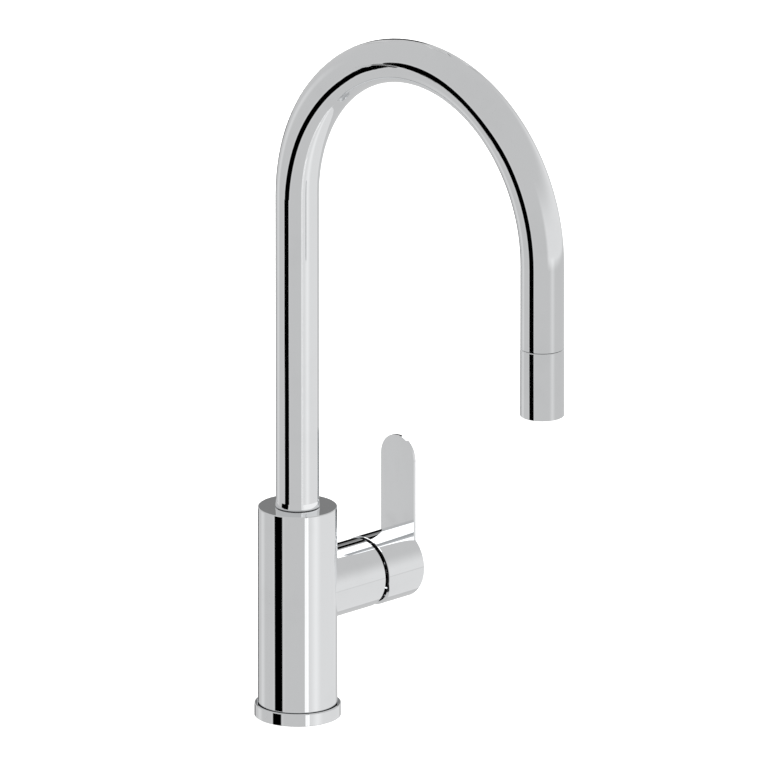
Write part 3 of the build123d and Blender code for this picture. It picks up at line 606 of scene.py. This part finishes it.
def dark_bar(tree, vector):
    """The room's dark bar and its margin, both 0 to 1, for a ray's direction. They are fixed
    in the room and laid out about the constant direction of the main view."""
    half = add(tree, "ShaderNodeVectorMath", operation="ADD",
               in_1=direction(VIEW_AZIMUTH, VIEW_ELEVATION))
    tree.links.new(vector, half.inputs[0])
    unit = add(tree, "ShaderNodeVectorMath", operation="NORMALIZE")
    tree.links.new(half.outputs[0], unit.inputs[0])
    normal = add(tree, "ShaderNodeSeparateXYZ")
    tree.links.new(unit.outputs[0], normal.inputs[0])
    nx, ny, nz = normal.outputs

    turn = maths(tree, "ARCTAN2", nz, ny)
    below = maths(tree, "LESS_THAN", turn, 0.0)
    half_turn = maths(tree, "MULTIPLY_ADD", below, np.pi, turn)
    sign = maths(tree, "MULTIPLY_ADD", below, -2.0, 1.0)
    spread = maths(tree, "SQRT", maths(tree, "ADD", maths(tree, "POWER", ny, 2.0),
                                       maths(tree, "POWER", nz, 2.0)))
    lean = maths(tree, "MULTIPLY", maths(tree, "DEGREES", maths(tree, "ARCSINE", spread)), sign)

    curve = [(turned / 180, lean_there / (2 * LEAN_RANGE) + 0.5)
             for turned, lean_there in BAR_MIDDLE]
    middle = float_curve(tree, maths(tree, "DIVIDE", half_turn, np.pi), curve)
    middle = maths(tree, "MULTIPLY_ADD", middle, 2 * LEAN_RANGE, -LEAN_RANGE)
    off = maths(tree, "ABSOLUTE", maths(tree, "SUBTRACT", lean, middle))
    behind = maths(tree, "LESS_THAN", nx, 0.0)
    clear = ramp(tree, maths(tree, "ABSOLUTE", lean), *BAR_GAP)
    bar = maths(tree, "MULTIPLY", ramp(tree, off, *BAR_EDGE),
                maths(tree, "MULTIPLY", behind, clear))
    margin = maths(tree, "MULTIPLY", ramp(tree, off, *MARGIN_EDGE), behind)
    return bar, margin


def room_grey(tree, studio):
    """Brightness that polished parts mirror, by direction in the room."""
    vector = tree.nodes.new("ShaderNodeTexCoord").outputs["Generated"]
    parts = add(tree, "ShaderNodeSeparateXYZ")
    tree.links.new(vector, parts.inputs[0])
    azimuth = maths(tree, "DEGREES",
                    maths(tree, "ARCTAN2", parts.outputs["Y"], parts.outputs["X"]))
    elevation = maths(tree, "DEGREES", maths(tree, "ARCSINE", parts.outputs["Z"]))

    side = maths(tree, "MULTIPLY", room_patch(tree, azimuth, elevation, FRONT_SIDE),
                 maths(tree, "MULTIPLY", ramp(tree, elevation, *FRONT_TOP),
                       ramp(tree, elevation, *FRONT_FOOT)))
    grey = maths(tree, "MULTIPLY_ADD", side, studio.front - studio.field, studio.field)
    for *place, rise in PALE_PATCHES:
        pale = room_patch(tree, azimuth, elevation, place)
        grey = maths(tree, "MULTIPLY_ADD", pale, rise, grey)
    dark, margin = dark_bar(tree, vector)
    grey = maths(tree, "MULTIPLY_ADD", margin, MARGIN_RISE, grey)
    for *place, depth in DARK_PATCHES:
        spot = room_patch(tree, azimuth, elevation, place)
        dark = maths(tree, "MAXIMUM", dark, maths(tree, "MULTIPLY", spot, depth))
    return maths(tree, "MULTIPLY", grey, maths(tree, "SUBTRACT", 1.0, dark))


def mix_shaders(tree, factor, first, second):
    """The first shader where the factor is 0, the second where it is 1."""
    node = tree.nodes.new("ShaderNodeMixShader")
    for socket, source in zip(node.inputs, (factor, first, second)):
        tree.links.new(source, socket)
    return node.outputs[0]


def studio_world(studio):
    """World that is white where the camera looks past the mixer, lights matt parts evenly,
    and shows mirror rays the room."""
    world = bpy.data.worlds.new("Studio")
    bpy.context.scene.world = world
    world.use_nodes = True
    tree = world.node_tree
    tree.nodes.clear()
    grey = room_grey(tree, studio)
    tint = tree.nodes.new("ShaderNodeCombineColor")
    for name in ("Red", "Green", "Blue"):
        tree.links.new(grey, tint.inputs[name])
    room = tree.nodes.new("ShaderNodeBackground")
    tree.links.new(tint.outputs[0], room.inputs["Color"])
    soft = add(tree, "ShaderNodeBackground", in_Color=(1, 1, 1, 1),
               in_Strength=studio.floor_light)
    white = add(tree, "ShaderNodeBackground", in_Color=(1, 1, 1, 1), in_Strength=1.0)
    path = tree.nodes.new("ShaderNodeLightPath")
    painted_highlight_colour = mix_shaders(tree, path.outputs["Is Glossy Ray"], soft.outputs[0], room.outputs[0])
    seen = mix_shaders(tree, path.outputs["Is Camera Ray"], painted_highlight_colour, white.outputs[0])
    out = tree.nodes.new("ShaderNodeOutputWorld")
    tree.links.new(seen, out.inputs["Surface"])


# Lit cards that only some nodes mirror: name, the point that the card faces, the azimuth,
# elevation and distance at which it stands from there, width, height, brightness, nodes.
CARDS = [
    ("Body_strip", (0, 0, 0.08), -109, -17.1, 2.0, 0.36, 1.6, 0.55,
     ["body_shell", "base_flange"]),
    ("Room_card", (0, 0, -2.7), -48, 0, 2.0, 6.4, 4.6, 0.205,
     ["body_shell", "base_flange", "lever_handle"]),
    ("Side_card", (0.578, 0, -0.035), -90, 0, 0.1, 1.244, 0.93, 0.20, ["spout_tube"]),
    ("Riser_strip", (-0.038, 0, 0.115), -90, 0, 0.1, 0.019, 0.63, 0.42, ["spout_tube"]),
    ("Arch_card", (0, -0.1, 0.45), 45, 17.1, 6.0, 3.28, 1.05, 0.39, ["spout_tube"]),
    ("Arch_patch", (0, -0.1, 0.45), 41, 30, 6.0, 0.91, 1.26, 0.63, ["spout_tube"]),
    ("Barrel_card", (0.075, 0, 0.10), 16, 44, 1.5, 0.70, 0.30, 1.3,
     ["lever_handle", "body_shell"]),
    ("Blade_card", (0.085, 0, 0.10), 158, 40, 1.5, 1.8, 1.2, 1.3, ["lever_handle"]),
]


def softbox(name, aim, azimuth, elevation, distance, width, height, brightness, receivers):
    """One-sided rectangular light that faces its aim. It lights its receivers only, and the
    camera does not see it."""
    light = bpy.data.lights.new(name, "AREA")
    light.shape = "RECTANGLE"
    light.size = width
    light.size_y = height
    light.energy = brightness * np.pi * width * height
    lamp = bpy.data.objects.new(name, light)
    bpy.context.scene.collection.objects.link(lamp)
    heading = direction(azimuth, elevation)
    lamp.matrix_world = (Matrix.Translation(Vector(aim) + heading * distance)
                         @ heading.to_track_quat("Z", "Y").to_matrix().to_4x4())
    lamp.visible_camera = False
    linked = bpy.data.collections.new(name + "_receivers")
    for node in receivers:
        linked.objects.link(NODES[node])
    lamp.light_linking.receiver_collection = linked


class MIXER_OT_studio(bpy.types.Operator):
    """Pale floor at deck level, the room and its cards, and the camera"""

    bl_idname = "mixer.studio"
    bl_label = "Studio"

    def execute(self, context):
        scene = context.scene
        studio = scene.mixer_studio
        studio_world(studio)
        scene.view_settings.view_transform = "Standard"

        edges = (-FLOOR_HALF, FLOOR_HALF)
        x, y = np.meshgrid(edges, edges, indexing="xy")
        corners = np.stack([x, y, np.zeros_like(x)], axis=-1)
        mesh = grid_mesh("floor", corners, wrap_u=False)
        material, _, shader, _ = start_material("Pale_floor")
        shader.inputs["Base Color"].default_value = (0.9, 0.9, 0.9, 1)
        shader.inputs["Roughness"].default_value = 1.0
        shader.inputs["Specular IOR Level"].default_value = 0.0
        shader.inputs["Emission Color"].default_value = (1, 1, 1, 1)
        shader.inputs["Emission Strength"].default_value = 0.6
        floor = add_piece("floor", mesh, material)
        floor.visible_glossy = False

        for card in CARDS:
            softbox(*card)

        camera = bpy.data.cameras.new("Camera")
        view = bpy.data.objects.new("Camera", camera)
        scene.collection.objects.link(view)
        camera.sensor_width = FILM
        camera.lens = LENS
        camera.clip_start = 0.01
        camera.clip_end = 100.0
        back = direction(VIEW_AZIMUTH, VIEW_ELEVATION)
        right = direction(VIEW_AZIMUTH + 90, 0)
        turn = Matrix((right, back.cross(right), back)).transposed().to_4x4()
        distance = FRAME_WIDTH / FILM * LENS
        view.matrix_world = Matrix.Translation(Vector(VIEW_TARGET) + back * distance) @ turn
        scene.camera = view
        return {"FINISHED"}


class MIXER_PT_panel(bpy.types.Panel):
    """Lists the pieces of the mixer in the sidebar"""

    bl_idname = "MIXER_PT_panel"
    bl_label = "Pull-down mixer"
    bl_space_type = "VIEW_3D"
    bl_region_type = "UI"
    bl_category = "Mixer"

    def draw(self, context):
        for operator in OPERATORS:
            self.layout.operator(operator.bl_idname)


SETTINGS = {
    "mixer_finish": MixerFinishSettings,
    "mixer_hose": MixerHoseSettings,
    "mixer_studio": MixerStudioSettings,
}
OPERATORS = [MIXER_OT_chrome, MIXER_OT_metals, MIXER_OT_mouldings, MIXER_OT_hose,
             MIXER_OT_studio]


def register():
    for cls in [*SETTINGS.values(), *OPERATORS, MIXER_PT_panel]:
        bpy.utils.register_class(cls)
    for name, cls in SETTINGS.items():
        setattr(bpy.types.Scene, name, bpy.props.PointerProperty(type=cls))


def unregister():
    for name in SETTINGS:
        delattr(bpy.types.Scene, name)
    for cls in [MIXER_PT_panel, *OPERATORS[::-1], *list(SETTINGS.values())[::-1]]:
        bpy.utils.unregister_class(cls)


def main():
    register()
    for operator in OPERATORS:
        group, name = operator.bl_idname.split(".")
        getattr(getattr(bpy.ops, group), name)()


if __name__ == "__main__":
    main()
